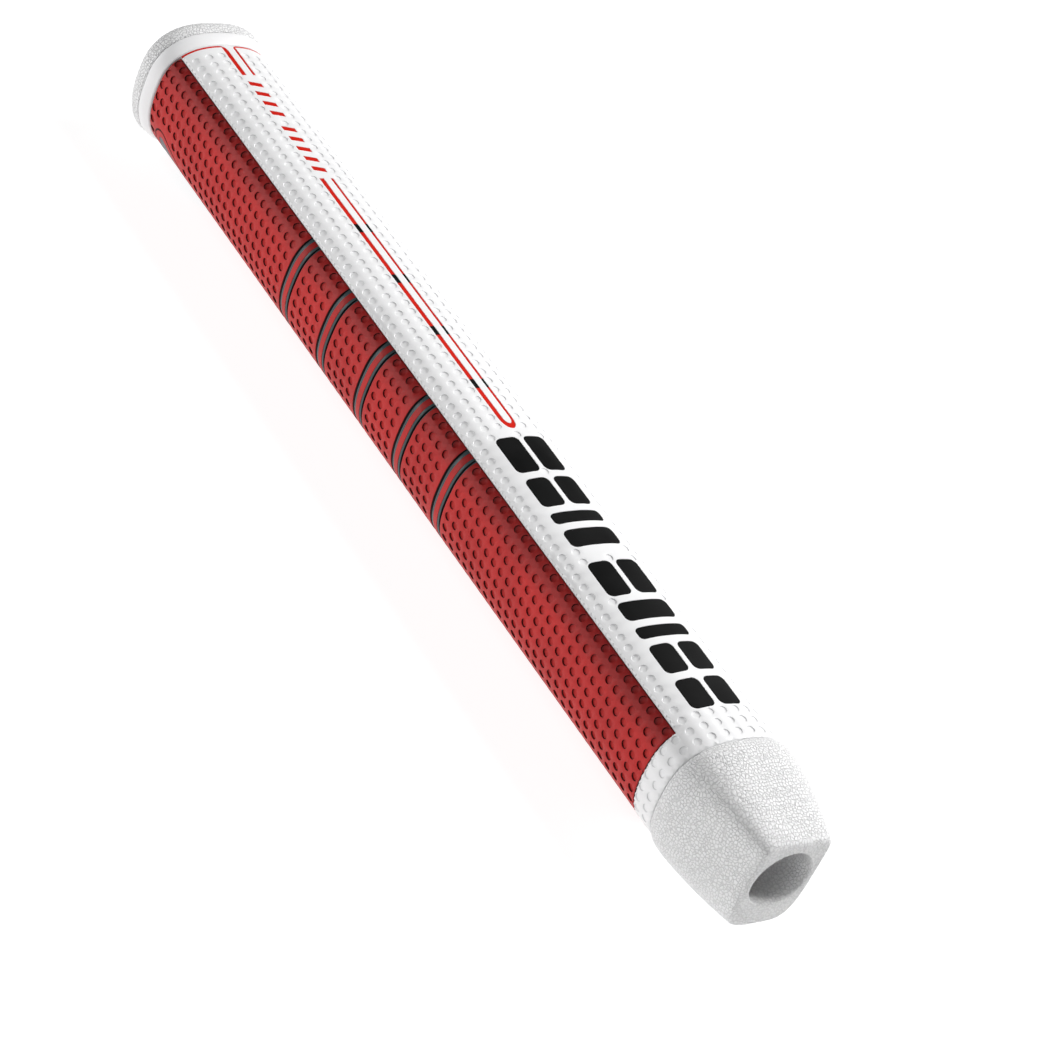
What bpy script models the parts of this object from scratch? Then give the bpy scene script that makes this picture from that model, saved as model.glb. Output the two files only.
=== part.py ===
"""Slip-on golf grip for a putter shaft: a rubber core tube, a white dimpled front shell, a red wrap with
ringed bands, a tapered mouth bell, a collar, a vented end cap and the paint fills set into the skins.

Frame, in metres: the shaft bore runs along X with its centre line on Y = Z = 0. X = 0 is the mouth face
that the shaft leaves by, the closed butt end is at -X, and the flat front of the grip faces +Z.
"""
import math

import bmesh
import bpy
from mathutils import Matrix

MM = 0.001

# Lengths along the shaft.
GRIP_LENGTH = 266.7 * MM
BELL_LENGTH = 25.0 * MM
COLLAR_LENGTH = 3.7 * MM
CAP_LENGTH = 5.0 * MM
BAND_LENGTH = 6.5 * MM

# Cross-section of the body, measured from its widest level.
HALF_WIDTH = 14.8 * MM
FRONT_RISE = 12.1 * MM
BACK_DROP = 17.8 * MM
WIDEST_LEVEL = 2.6 * MM
SECTION_POWER = 2.5
PANEL_EDGE = math.radians(53.4)

# Walls, seams and the bore.
BORE_RADIUS = 7.35 * MM
SKIN = 2.0 * MM
SEAM = 0.3 * MM
WRAP_SINK = 0.1 * MM
VENT_RADIUS = 1.2 * MM
PLUG_CLEARANCE = 0.3 * MM
PLUG_DEPTH = 8.0 * MM

# Flare of the butt end and shape of the mouth bell.
BUTT_FLARE = 1.1 * MM
CAP_SWELL = 0.35 * MM
BELL_SWELL = 0.9 * MM
SWELL_RISE = 0.05
CAP_EDGE = 2.6 * MM
MOUTH_EDGE = 1.0 * MM
MOUTH_FRONT = 10.5 * MM
MOUTH_BACK = 13.1 * MM
MOUTH_HALF_WIDTH = 9.2 * MM
MOUTH_LEVEL = 3.0 * MM
MOUTH_POWER_FRONT = 6.0
MOUTH_POWER_BACK = 4.0
FRONT_TAPER = 1.25
BACK_TAPER = 2.0

# Ring bands: pairs of filled grooves around the wrap.
BAND_COUNT = 5
FIRST_BAND = 67.5 * MM
BAND_PITCH = 18.0 * MM
RING_SPACING = 3.0 * MM
RING_WIDTH = 1.3 * MM

# Paint fills and the recesses that hold them.
RECESS_DEPTH = 0.5 * MM
FILL_BOTTOM = 0.4 * MM
FILL_TOP = 0.1 * MM
FILL_GAP = 0.1 * MM
FILL_REACH = math.radians(52.6)
LINE_TOP = 0.24 * MM
STEP_BOTTOM = 0.16 * MM
STEP_TOP = 0.04 * MM
WIDE_LINE = (-1.83 * MM, -0.69 * MM)
NARROW_LINE = (1.28 * MM, 1.94 * MM)
LINES_START = 50.8 * MM
LINES_END = 134.6 * MM
U_LENGTH = 3.3 * MM
DARK_STEP = 3.0 * MM
FRAME_TOP = 0.0 * MM
FRAME_END = 11.6 * MM
FRAME_STRIP = 0.7 * MM
FRAME_REACH = 11.3 * MM
WIDE_CORNER = 2.0 * MM
NARROW_CORNER = 1.2 * MM
TICK_HALF_HEIGHT = 1.65 * MM
TICK_WIDTH = 1.5 * MM
TICK_PITCH = 3.75 * MM
TICK_LEAN = 0.9 * MM
TICK_STARTS = (14.0 * MM, 31.2 * MM)
TICK_COUNTS = (4, 5)
BLOCK_HALF_HEIGHT = 6.6 * MM
BLOCK_SLIT = 1.3 * MM
BLOCK_CORNER = 1.5 * MM
BLOCK_GAP = 2.0 * MM
UPPER_BLOCKS = (140.6 * MM, (11.0 * MM, 8.8 * MM, 3.3 * MM, 5.2 * MM))
LOWER_BLOCKS = (179.8 * MM, (10.2 * MM, 5.4 * MM, 3.3 * MM, 8.2 * MM, 8.2 * MM))
SPLIT_FROM = 7.0 * MM

# Plain badge on the back, near the butt, which narrows towards the mouth.
BADGE_START = 4.9 * MM
BADGE_LENGTH = 19.0 * MM
BADGE_EDGE = math.radians(124.5)
BADGE_FAR_EDGE = math.radians(160)
BADGE_STATIONS = 8

# Mesh fineness.
SECTION_STEPS = 56
WRAP_STEPS = 32
CIRCLE_STEPS = 40
LAYER_STEPS = 20
ARC_STEPS = 3
EDGE_STEPS = 3
CAP_EDGE_STEPS = 5
BELL_STATIONS = (0, 0.02, 0.06, 0.12, 0.2, 0.32, 0.46, 0.6, 0.74, 0.88, 1)

SKIN_START = -GRIP_LENGTH + CAP_LENGTH + COLLAR_LENGTH
SKIN_END = -BELL_LENGTH - SEAM
UPRIGHT = Matrix(((0, 0, 1, 0), (1, 0, 0, 0), (0, 1, 0, 0), (0, 0, 0, 1)))

WHITE = ((0.83, 0.83, 0.84), 0.45)
WHITE_GRAIN = ((0.80, 0.80, 0.80), 0.60)
COLLAR_WHITE = ((0.84, 0.84, 0.85), 0.35)
RED = ((0.45, 0.012, 0.012), 0.55)
INK_RED = ((0.62, 0.015, 0.01), 0.40)
INK_BLACK = ((0.012, 0.012, 0.013), 0.45)
RING_DARK = ((0.02, 0.03, 0.035), 0.30)
CORE_GREY = ((0.05, 0.05, 0.055), 0.80)
BADGE_GREY = ((0.10, 0.10, 0.11), 0.45)


def clear_scene():
    for item in list(bpy.data.objects):
        bpy.data.objects.remove(item, do_unlink=True)


def new_collection(name):
    collection = bpy.data.collections.new(name)
    bpy.context.scene.collection.children.link(collection)
    return collection


def paint(item, name, look):
    colour, roughness = look
    material = bpy.data.materials.new(name)
    material.use_nodes = True
    shader = material.node_tree.nodes["Principled BSDF"]
    shader.inputs["Base Color"].default_value = (*colour, 1.0)
    shader.inputs["Roughness"].default_value = roughness
    item.data.materials.clear()
    item.data.materials.append(material)


def blend(start, end, share):
    return start + (end - start) * share


def ellipse_like(angle, half_width, rise, drop, level, power_front, power_back, offset=0.0):
    """Point of a rounded section at an angle from the front, moved out along the surface normal."""
    side, up = math.sin(angle), math.cos(angle)
    height = rise if up >= 0 else drop
    power = power_front if up >= 0 else power_back
    radius = (abs(side / half_width) ** power + abs(up / height) ** power) ** (-1.0 / power)
    y, z = radius * side, radius * up
    normal_y = math.copysign(abs(y / half_width) ** (power - 1) / half_width, y)
    normal_z = math.copysign(abs(z / height) ** (power - 1) / height, z)
    length = math.hypot(normal_y, normal_z)
    return y + offset * normal_y / length, level + z + offset * normal_z / length


def body_point(angle, offset=0.0):
    return ellipse_like(
        angle, HALF_WIDTH, FRONT_RISE, BACK_DROP, WIDEST_LEVEL, SECTION_POWER, SECTION_POWER, offset
    )


def ring_angles(steps):
    return [2 * math.pi * index / steps for index in range(steps)]


def body_loop(offset):
    return [body_point(angle, offset) for angle in ring_angles(SECTION_STEPS)]


def circle_loop(radius):
    return [(radius * math.sin(a), radius * math.cos(a)) for a in ring_angles(CIRCLE_STEPS)]


def strip_loop(angle_from, angle_to, low, high, steps):
    """Closed strip that follows the body's section between two offsets."""
    angles = [blend(angle_from, angle_to, index / steps) for index in range(steps + 1)]
    outer = [body_point(angle, high) for angle in angles]
    inner = [body_point(angle, low) for angle in reversed(angles)]
    return outer + inner


def outline_object(name, loops, thickness):
    """Filled flat outline, extruded both ways along its own Z."""
    curve = bpy.data.curves.new(name, "CURVE")
    curve.dimensions = "2D"
    curve.fill_mode = "BOTH"
    curve.extrude = thickness / 2
    for loop in loops:
        spline = curve.splines.new("POLY")
        spline.points.add(len(loop) - 1)
        for point, (first, second) in zip(spline.points, loop):
            point.co = (first, second, 0.0, 1.0)
        spline.use_cyclic_u = True
    item = bpy.data.objects.new(name, curve)
    bpy.context.scene.collection.objects.link(item)
    return item


def as_mesh(name, items, collection):
    """Turn curve objects into one welded mesh object at the world origin."""
    bpy.context.view_layer.update()
    graph = bpy.context.evaluated_depsgraph_get()
    work = bmesh.new()
    for item in items:
        mesh = bpy.data.meshes.new_from_object(item.evaluated_get(graph))
        mesh.transform(item.matrix_world)
        work.from_mesh(mesh)
        bpy.data.meshes.remove(mesh)
    bmesh.ops.remove_doubles(work, verts=work.verts, dist=1e-7)
    bmesh.ops.recalc_face_normals(work, faces=work.faces)
    for item in items:
        bpy.data.objects.remove(item, do_unlink=True)
    mesh = bpy.data.meshes.new(name)
    work.to_mesh(mesh)
    work.free()
    result = bpy.data.objects.new(name, mesh)
    collection.objects.link(result)
    return result


def along_shaft(name, loops, start, end):
    """Outline in the YZ plane, extruded along X from start to end."""
    item = outline_object(name, loops, end - start)
    item.matrix_world = Matrix.Translation(((start + end) / 2, 0, 0)) @ UPRIGHT
    return item


def prism(name, loops, start, end, collection):
    return as_mesh(name, [along_shaft(name, loops, start, end)], collection)


def through_front(name, loops, collection):
    """Outline in the XY plane, extruded along Z from the bore's centre line to above the front."""
    item = outline_object(name, loops, 2 * FRONT_RISE)
    item.location.z = FRONT_RISE
    return as_mesh(name, [item], collection)


def loft(name, sections, collection):
    """Solid through closed sections, each a list of (x, y, z) with the same number of points."""
    work = bmesh.new()
    rings = [[work.verts.new(point) for point in section] for section in sections]
    for first, second in zip(rings, rings[1:]):
        for index, vertex in enumerate(first):
            after = (index + 1) % len(first)
            work.faces.new((vertex, first[after], second[after], second[index]))
    work.faces.new(rings[0])
    work.faces.new(rings[-1])
    bmesh.ops.recalc_face_normals(work, faces=work.faces)
    mesh = bpy.data.meshes.new(name)
    work.to_mesh(mesh)
    work.free()
    item = bpy.data.objects.new(name, mesh)
    collection.objects.link(item)
    return item


def cylinder(name, radius, start, end, collection):
    work = bmesh.new()
    turn = Matrix.Translation(((start + end) / 2, 0, 0)) @ Matrix.Rotation(math.pi / 2, 4, "Y")
    bmesh.ops.create_cone(
        work,
        cap_ends=True,
        segments=CIRCLE_STEPS,
        radius1=radius,
        radius2=radius,
        depth=end - start,
        matrix=turn,
    )
    mesh = bpy.data.meshes.new(name)
    work.to_mesh(mesh)
    work.free()
    item = bpy.data.objects.new(name, mesh)
    collection.objects.link(item)
    return item


def combine(item, tool, operation):
    modifier = item.modifiers.new(tool.name, "BOOLEAN")
    modifier.operation = operation
    modifier.solver = "EXACT"
    modifier.object = tool
    tool.hide_render = True
    tool.display_type = "WIRE"


def rounded_box(start, end, low, high, corner):
    """Rectangle in X and Y with rounded corners."""
    points = []
    centres = ((end, high, 0), (start, high, 1), (start, low, 2), (end, low, 3))
    for x, y, quarter in centres:
        centre_x = x - math.copysign(corner, x - (start + end) / 2)
        centre_y = y - math.copysign(corner, y - (low + high) / 2)
        for step in range(ARC_STEPS + 1):
            angle = (quarter + step / ARC_STEPS) * math.pi / 2
            points.append((centre_x + corner * math.cos(angle), centre_y + corner * math.sin(angle)))
    return points


def box_loop(start, end, low, high):
    return [(start, low), (end, low), (end, high), (start, high)]


def at(distance):
    """X of a place measured from the butt end of the skins."""
    return SKIN_START + distance


def band_starts():
    return [FIRST_BAND + BAND_PITCH * index for index in range(BAND_COUNT)]


def u_turn(grow):
    """Half-round end that joins the two sight lines, as a closed band."""
    start = at(LINES_END)
    outer_low, outer_high = WIDE_LINE[0] - grow, NARROW_LINE[1] + grow
    inner_low, inner_high = WIDE_LINE[1] + grow, NARROW_LINE[0] - grow
    steps = 2 * ARC_STEPS

    def half_round(low, high, depth):
        middle, half = (low + high) / 2, (high - low) / 2
        return [
            (start + depth * math.sin(math.pi * k / steps), middle - half * math.cos(math.pi * k / steps))
            for k in range(steps + 1)
        ]

    outer = half_round(outer_low, outer_high, U_LENGTH + grow)
    inner = half_round(inner_low, inner_high, U_LENGTH / 2 - grow)
    return outer, inner


def sight_line_loop(grow=0.0):
    """One outline around both sight lines and the turn that joins them."""
    outer, inner = u_turn(grow)
    start = at(LINES_START) - grow
    left = [(start, WIDE_LINE[1] + grow), (start, WIDE_LINE[0] - grow)]
    right = [(start, NARROW_LINE[1] + grow), (start, NARROW_LINE[0] - grow)]
    return left + outer + right + inner[::-1]


def frame_loop(line, side, grow=0.0):
    """Bar beside the centre line with a strip along the collar, out to the shoulder on one side."""
    low, high = line[0] - grow, line[1] + grow
    top, under, end = at(FRAME_TOP) - grow, at(FRAME_TOP + FRAME_STRIP) + grow, at(FRAME_END) + grow
    reach = side * (FRAME_REACH + grow)
    turn = (WIDE_CORNER if side < 0 else NARROW_CORNER) + grow
    angles = [math.pi / 2 * step / ARC_STEPS for step in range(ARC_STEPS + 1)]
    if side < 0:
        corner = [(top + turn - turn * math.sin(a), high - turn + turn * math.cos(a)) for a in angles]
        return [(top, reach), (under, reach), (under, low), (end, low), (end, high)] + corner
    corner = [(top + turn - turn * math.cos(a), low + turn - turn * math.sin(a)) for a in angles]
    return [(top, reach)] + corner + [(end, low), (end, high), (under, high), (under, reach)]


def tick_loops(grow=0.0):
    """Two groups of plain slanted ticks."""
    loops = []
    half = TICK_HALF_HEIGHT + grow
    for group_start, count in zip(TICK_STARTS, TICK_COUNTS):
        for index in range(count):
            start = at(group_start + TICK_PITCH * index) - grow
            end = start + TICK_WIDTH + 2 * grow
            loops.append([(start, -half), (end, -half), (end + TICK_LEAN, half), (start + TICK_LEAN, half)])
    return loops


def block_loops(blocks, grow=0.0):
    """A row of plain blocks; the long ones are split along the centre line."""
    position, lengths = blocks
    loops = []
    for length in lengths:
        start, end = at(position) - grow, at(position + length) + grow
        half = BLOCK_HALF_HEIGHT + grow
        corner = min(BLOCK_CORNER, length / 3) + grow
        if length > SPLIT_FROM:
            slit = BLOCK_SLIT / 2 - grow
            loops.append(rounded_box(start, end, slit, half, corner))
            loops.append(rounded_box(start, end, -half, -slit, corner))
        else:
            loops.append(rounded_box(start, end, -half, half, corner))
        position += length + BLOCK_GAP
    return loops


def front_fill(name, loop, look, parts, cutters, low=-FILL_BOTTOM, high=-FILL_TOP):
    """Paint fill: the part of a thin front layer that lies inside the outline."""
    layer = strip_loop(-FILL_REACH, FILL_REACH, low, high, LAYER_STEPS)
    start = min(x for x, _ in loop) - FILL_GAP
    end = max(x for x, _ in loop) + FILL_GAP
    fill = prism(name, [layer], start, end, parts)
    combine(fill, through_front(name + "_outline", [loop], cutters), "INTERSECT")
    paint(fill, name, look)


def make_core(parts):
    core = prism(
        "core_sleeve", [body_loop(-SKIN - SEAM), circle_loop(BORE_RADIUS)], SKIN_START, SKIN_END, parts
    )
    paint(core, "core_rubber", CORE_GREY)


def wrap_edge(clearance):
    """Angle of the wrap's edge, a clearance away from the edge of the front panel."""
    return PANEL_EDGE + clearance / HALF_WIDTH


def make_front_shell(parts, cutters):
    shell = prism("front_shell", [body_loop(0.0), body_loop(-SKIN)], SKIN_START, SKIN_END, parts)
    far = 2 * math.pi - PANEL_EDGE
    window = strip_loop(PANEL_EDGE, far, -2 * SKIN, SKIN, SECTION_STEPS)
    cutter = prism("wrap_window", [window], SKIN_START - SKIN, SKIN_END - BAND_LENGTH, cutters)
    combine(shell, cutter, "DIFFERENCE")
    layer = strip_loop(-FILL_REACH, FILL_REACH, -RECESS_DEPTH, SKIN, LAYER_STEPS)
    recess = prism("front_recess", [layer], SKIN_START - SKIN, SKIN_END, cutters)
    loops = [sight_line_loop(FILL_GAP)]
    loops.append(frame_loop(WIDE_LINE, -1, FILL_GAP))
    loops.append(frame_loop(NARROW_LINE, 1, FILL_GAP))
    loops += tick_loops(FILL_GAP)
    loops += block_loops(UPPER_BLOCKS, FILL_GAP)
    loops += block_loops(LOWER_BLOCKS, FILL_GAP)
    combine(recess, through_front("recess_outline", loops, cutters), "INTERSECT")
    combine(shell, recess, "DIFFERENCE")
    paint(shell, "front_white", WHITE)


def ring_starts():
    return [start + RING_SPACING * line for start in band_starts() for line in range(2)]


def badge_solid(name, low, high, grow, collection):
    """Layer of the back between two offsets, inside the badge's outline grown by some amount."""
    sections = []
    start, end = at(BADGE_START) - grow, at(BADGE_START + BADGE_LENGTH) + grow
    for step in range(BADGE_STATIONS + 1):
        share = step / BADGE_STATIONS
        edge = blend(BADGE_EDGE, BADGE_FAR_EDGE, share) - grow / HALF_WIDTH
        loop = strip_loop(edge, 2 * math.pi - edge, low, high, LAYER_STEPS)
        sections.append([(blend(start, end, share), y, z) for y, z in loop])
    return loft(name, sections, collection)


def make_side_wrap(parts, cutters):
    edge = wrap_edge(SEAM)
    far = 2 * math.pi - edge
    end = SKIN_END - BAND_LENGTH - SEAM
    band = strip_loop(edge, far, -SKIN, -WRAP_SINK, WRAP_STEPS)
    wrap = prism("side_wrap", [band], SKIN_START, end, parts)
    groove_floor = -WRAP_SINK - RECESS_DEPTH
    open_edge, open_far = PANEL_EDGE, 2 * math.pi - PANEL_EDGE
    groove = strip_loop(open_edge, open_far, groove_floor, SKIN, WRAP_STEPS)
    grooves = [
        along_shaft("ring_groove", [groove], at(start) - FILL_GAP, at(start) + RING_WIDTH + FILL_GAP)
        for start in ring_starts()
    ]
    combine(wrap, as_mesh("ring_grooves", grooves, cutters), "DIFFERENCE")
    combine(wrap, badge_solid("badge_pocket", groove_floor, SKIN, FILL_GAP, cutters), "DIFFERENCE")
    paint(wrap, "wrap_red", RED)


def make_ring_fills(parts):
    edge = wrap_edge(SEAM)
    fill = strip_loop(edge, 2 * math.pi - edge, -WRAP_SINK - FILL_BOTTOM, -WRAP_SINK - FILL_TOP, WRAP_STEPS)
    for index, start in enumerate(ring_starts()):
        name = f"ring_fill_{index // 2 + 1}{'ab'[index % 2]}"
        ring = prism(name, [fill], at(start), at(start) + RING_WIDTH, parts)
        paint(ring, name, RING_DARK)


def make_badge(parts):
    low, high = -WRAP_SINK - FILL_BOTTOM, -WRAP_SINK - FILL_TOP
    badge = badge_solid("back_badge", low, high, 0.0, parts)
    paint(badge, "badge_grey", BADGE_GREY)


def bell_section(x, inset):
    """Section of the bell: the body's shape swells a little, then tapers to the mouth."""
    share = (x + BELL_LENGTH) / BELL_LENGTH
    swell = BELL_SWELL * (1 - math.exp(-share / SWELL_RISE)) * (1 - share)
    taper = share**FRONT_TAPER
    back_taper = share**BACK_TAPER
    return [
        (x, *ellipse_like(
            angle,
            blend(HALF_WIDTH, MOUTH_HALF_WIDTH, taper),
            blend(FRONT_RISE, MOUTH_FRONT - MOUTH_LEVEL, taper),
            blend(BACK_DROP, MOUTH_BACK + MOUTH_LEVEL, back_taper),
            blend(WIDEST_LEVEL, MOUTH_LEVEL, taper),
            blend(SECTION_POWER, MOUTH_POWER_FRONT, taper),
            blend(SECTION_POWER, MOUTH_POWER_BACK, taper),
            swell - inset,
        ))
        for angle in ring_angles(SECTION_STEPS)
    ]


def make_mouth_bell(parts, cutters):
    sections = []
    straight = BELL_LENGTH - MOUTH_EDGE
    for share in BELL_STATIONS:
        sections.append(bell_section(-BELL_LENGTH + straight * share, 0.0))
    for step in range(1, EDGE_STEPS + 1):
        angle = math.pi / 2 * step / EDGE_STEPS
        inset = MOUTH_EDGE * (1 - math.cos(angle))
        sections.append(bell_section(-MOUTH_EDGE * (1 - math.sin(angle)), inset))
    bell = loft("mouth_bell", sections, parts)
    bore = cylinder("mouth_bore", BORE_RADIUS, -2 * BELL_LENGTH, BELL_LENGTH, cutters)
    combine(bell, bore, "DIFFERENCE")
    paint(bell, "bell_white", WHITE_GRAIN)


def butt_section(x, offset):
    return [(x, *body_point(angle, offset)) for angle in ring_angles(SECTION_STEPS)]


def make_collar(parts, cutters):
    end = SKIN_START - SEAM
    start = end - COLLAR_LENGTH + SEAM
    sections = []
    for step in range(EDGE_STEPS + 1):
        share = step / EDGE_STEPS
        sections.append(butt_section(blend(end, start, share), BUTT_FLARE * math.sin(math.pi / 2 * share)))
    collar = loft("butt_collar", sections, parts)
    bore = cylinder("collar_bore", BORE_RADIUS, start - COLLAR_LENGTH, end + COLLAR_LENGTH, cutters)
    combine(collar, bore, "DIFFERENCE")
    paint(collar, "collar_white", COLLAR_WHITE)


def make_end_cap(parts, cutters):
    joint = -GRIP_LENGTH + CAP_LENGTH - SEAM
    sections = [butt_section(joint, BUTT_FLARE)]
    for step in range(CAP_EDGE_STEPS + 1):
        angle = math.pi / 2 * step / CAP_EDGE_STEPS
        x = -GRIP_LENGTH + CAP_EDGE * (1 - math.sin(angle))
        sections.append(butt_section(x, BUTT_FLARE + CAP_SWELL - CAP_EDGE * (1 - math.cos(angle))))
    cap = loft("end_cap", sections, parts)
    plug = cylinder("cap_plug", BORE_RADIUS - PLUG_CLEARANCE, joint - SEAM, joint + PLUG_DEPTH, cutters)
    vent = cylinder("cap_vent", VENT_RADIUS, -GRIP_LENGTH - CAP_LENGTH, joint + 2 * PLUG_DEPTH, cutters)
    combine(cap, plug, "UNION")
    combine(cap, vent, "DIFFERENCE")
    paint(cap, "cap_white", WHITE_GRAIN)


def make_sight_lines(parts, cutters):
    front_fill("sight_line", sight_line_loop(), INK_RED, parts, cutters, -FILL_BOTTOM, -LINE_TOP)
    for side, (low, high) in (("wide", WIDE_LINE), ("narrow", NARROW_LINE)):
        for index, start in enumerate(band_starts()[:-1]):
            step = box_loop(at(start), at(start + DARK_STEP), low, high)
            name = f"sight_step_{side}_{index + 1}"
            front_fill(name, step, INK_BLACK, parts, cutters, -STEP_BOTTOM, -STEP_TOP)


def make_front_marks(parts, cutters):
    front_fill("frame_line_wide", frame_loop(WIDE_LINE, -1), INK_RED, parts, cutters)
    front_fill("frame_line_narrow", frame_loop(NARROW_LINE, 1), INK_RED, parts, cutters)
    for index, loop in enumerate(tick_loops()):
        front_fill(f"front_tick_{index + 1}", loop, INK_RED, parts, cutters)
    for index, loop in enumerate(block_loops(UPPER_BLOCKS) + block_loops(LOWER_BLOCKS)):
        front_fill(f"front_block_{index + 1}", loop, INK_BLACK, parts, cutters)


def main():
    clear_scene()
    parts = new_collection("golf_grip")
    cutters = new_collection("cutters")
    make_core(parts)
    make_front_shell(parts, cutters)
    make_side_wrap(parts, cutters)
    make_ring_fills(parts)
    make_badge(parts)
    make_mouth_bell(parts, cutters)
    make_collar(parts, cutters)
    make_end_cap(parts, cutters)
    make_sight_lines(parts, cutters)
    make_front_marks(parts, cutters)


main()
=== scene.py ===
"""Looks of the golf grip: dimpled skins, ring grooves, pebbled bell and cap, paint fills, studio and camera.

Everything is in metres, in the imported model's frame: the bore runs along X, the mouth face is at X = 0, the
closed butt is at -X and the flat front faces +Z. A skin is drawn flat, as distance along the shaft and arc
around the section from the front's centre line, and is then wrapped on the body's section.
"""
import math

import bmesh
import bpy
import numpy as np
from mathutils import Matrix, Vector, geometry, noise


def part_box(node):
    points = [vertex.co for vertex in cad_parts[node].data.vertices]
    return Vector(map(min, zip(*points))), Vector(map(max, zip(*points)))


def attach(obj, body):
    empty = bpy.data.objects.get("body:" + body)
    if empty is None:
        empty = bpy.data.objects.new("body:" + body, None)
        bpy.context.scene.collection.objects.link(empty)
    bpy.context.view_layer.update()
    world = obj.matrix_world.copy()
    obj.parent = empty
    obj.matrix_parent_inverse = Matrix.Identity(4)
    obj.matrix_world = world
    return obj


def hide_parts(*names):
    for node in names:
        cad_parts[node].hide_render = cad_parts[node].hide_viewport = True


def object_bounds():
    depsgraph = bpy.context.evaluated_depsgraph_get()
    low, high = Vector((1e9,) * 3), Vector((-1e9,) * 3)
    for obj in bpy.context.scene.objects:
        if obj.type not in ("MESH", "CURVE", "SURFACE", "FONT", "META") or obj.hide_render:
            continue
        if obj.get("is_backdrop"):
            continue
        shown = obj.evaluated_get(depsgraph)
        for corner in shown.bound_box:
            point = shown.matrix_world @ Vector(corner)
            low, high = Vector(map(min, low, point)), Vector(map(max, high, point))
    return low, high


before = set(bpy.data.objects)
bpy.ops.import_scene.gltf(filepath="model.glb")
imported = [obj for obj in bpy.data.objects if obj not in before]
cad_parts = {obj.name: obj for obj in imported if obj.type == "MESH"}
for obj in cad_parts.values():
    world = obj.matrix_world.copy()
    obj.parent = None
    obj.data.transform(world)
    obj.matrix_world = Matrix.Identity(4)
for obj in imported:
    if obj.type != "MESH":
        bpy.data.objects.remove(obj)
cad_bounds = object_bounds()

MM = 0.001

# The body's section and its seams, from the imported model.
SHELL_LOW, SHELL_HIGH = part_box("front_shell")
SKIN_START = SHELL_LOW.x
SKIN_LENGTH = SHELL_HIGH.x - SHELL_LOW.x
WRAP_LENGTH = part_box("side_wrap")[1].x - SKIN_START
WIDEST_LEVEL = 2.6 * MM
HALF_WIDTH = SHELL_HIGH.y
FRONT_RISE = SHELL_HIGH.z - WIDEST_LEVEL
BACK_DROP = WIDEST_LEVEL - SHELL_LOW.z
SECTION_POWER = 2.5
PANEL_ANGLE = math.radians(53.4)
BORE_RADIUS = 7.35 * MM
SKIN = 2.0 * MM

# Edges of the skins.
SEAM = 0.3 * MM
EDGE_GAP = 0.06 * MM
WRAP_SINK = 0.12 * MM
PANEL_ROLL = 0.45 * MM
END_ROLL = 0.20 * MM
BEAD_WIDTH = 0.62 * MM
BEAD_GROOVE = 0.16 * MM
BEAD_DEPTH = 0.10 * MM
WRAP_ROLL = 0.30 * MM
WRAP_DIP = 0.36 * MM
WRAP_DIP_WIDTH = 3.4 * MM
FILL_ROLL = 0.05 * MM
SHARP_ANGLE = math.radians(32)

# Dimples: pockets on a lattice of columns along the shaft and rows around it.
DIMPLE_SIDES = 12
RED_DIMPLE = ((1.05, 0.0), (0.98, 0.04), (0.93, 0.38), (0.82, 0.44), (0.0, 0.44))
WHITE_DIMPLE = ((1.04, 0.0), (0.96, 0.03), (0.84, 0.20), (0.68, 0.24), (0.0, 0.24))
COLUMN_COUNT = 78
COLUMN_KNOTS = (0, 1, 22, 49, 77)
COLUMN_PLACES = (1.25 * MM, 3.75 * MM, 65.2 * MM, 145.8 * MM, 230.4 * MM)
WHITE_ROWS = 29
FIRST_RED_ROW = 14.0 * MM
RED_ROWS = 22
CLEARANCE = 1.2 * MM
BAND_CLEARANCE = 1.15 * MM

# Ring bands.
BAND_COUNT = 5
FIRST_BAND = 67.5 * MM
BAND_PITCH = 18.0 * MM
BAND_MARGIN = 0.5 * MM
RING_SPACING = 3.0 * MM
RING_WIDTH = 1.30 * MM
RING_PROFILE = (
    (0.0, 0.20), (0.16, 0.50), (0.50, 0.51), (0.66, 0.14), (0.72, 0.11), (1.22, 0.09), (1.30, 0.10)
)
RING_BOTTOM = 0.52 * MM
GROOVE_DEPTH = 0.53 * MM
GROOVE_LIP = 0.06 * MM

# Paint fills.
FILL_TOP = 0.03 * MM
LINE_TOP = 0.05 * MM
STEP_TOP = 0.02 * MM
RECESS_DEPTH = 0.50 * MM
RECESS_GROW = 0.05 * MM
FILL_BOTTOM = 0.40 * MM
STEP_BOTTOM = LINE_TOP + FILL_ROLL
WIDE_LINE = (-1.83 * MM, -0.69 * MM)
NARROW_LINE = (1.28 * MM, 1.94 * MM)
LINES_START = 50.8 * MM
LINES_END = 134.6 * MM
U_LENGTH = 3.3 * MM
DARK_STEP = 3.0 * MM
FRAME_MARGIN = 0.12 * MM
FRAME_END = 11.6 * MM
FRAME_STRIP = 0.7 * MM
WIDE_CORNER = 2.0 * MM
NARROW_CORNER = 1.2 * MM
TICK_HALF_HEIGHT = 1.65 * MM
TICK_WIDTH = 1.5 * MM
TICK_PITCH = 3.75 * MM
TICK_LEAN = 0.9 * MM
TICK_STARTS = (14.0 * MM, 31.2 * MM)
TICK_COUNTS = (4, 5)
BLOCK_HALF_HEIGHT = 6.6 * MM
BLOCK_SLIT = 1.3 * MM
BLOCK_CORNER = 1.5 * MM
BLOCK_GAP = 2.0 * MM
UPPER_BLOCKS = (140.6 * MM, (11.0 * MM, 8.8 * MM, 3.3 * MM, 5.2 * MM))
LOWER_BLOCKS = (179.8 * MM, (10.2 * MM, 5.4 * MM, 3.3 * MM, 8.2 * MM, 8.2 * MM))
SPLIT_FROM = 7.0 * MM
BADGE_START = 4.9 * MM
BADGE_LENGTH = 19.0 * MM
BADGE_ANGLE = math.radians(124.5)
BADGE_FAR_ANGLE = math.radians(160)
BADGE_CORNER = 1.6 * MM
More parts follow.
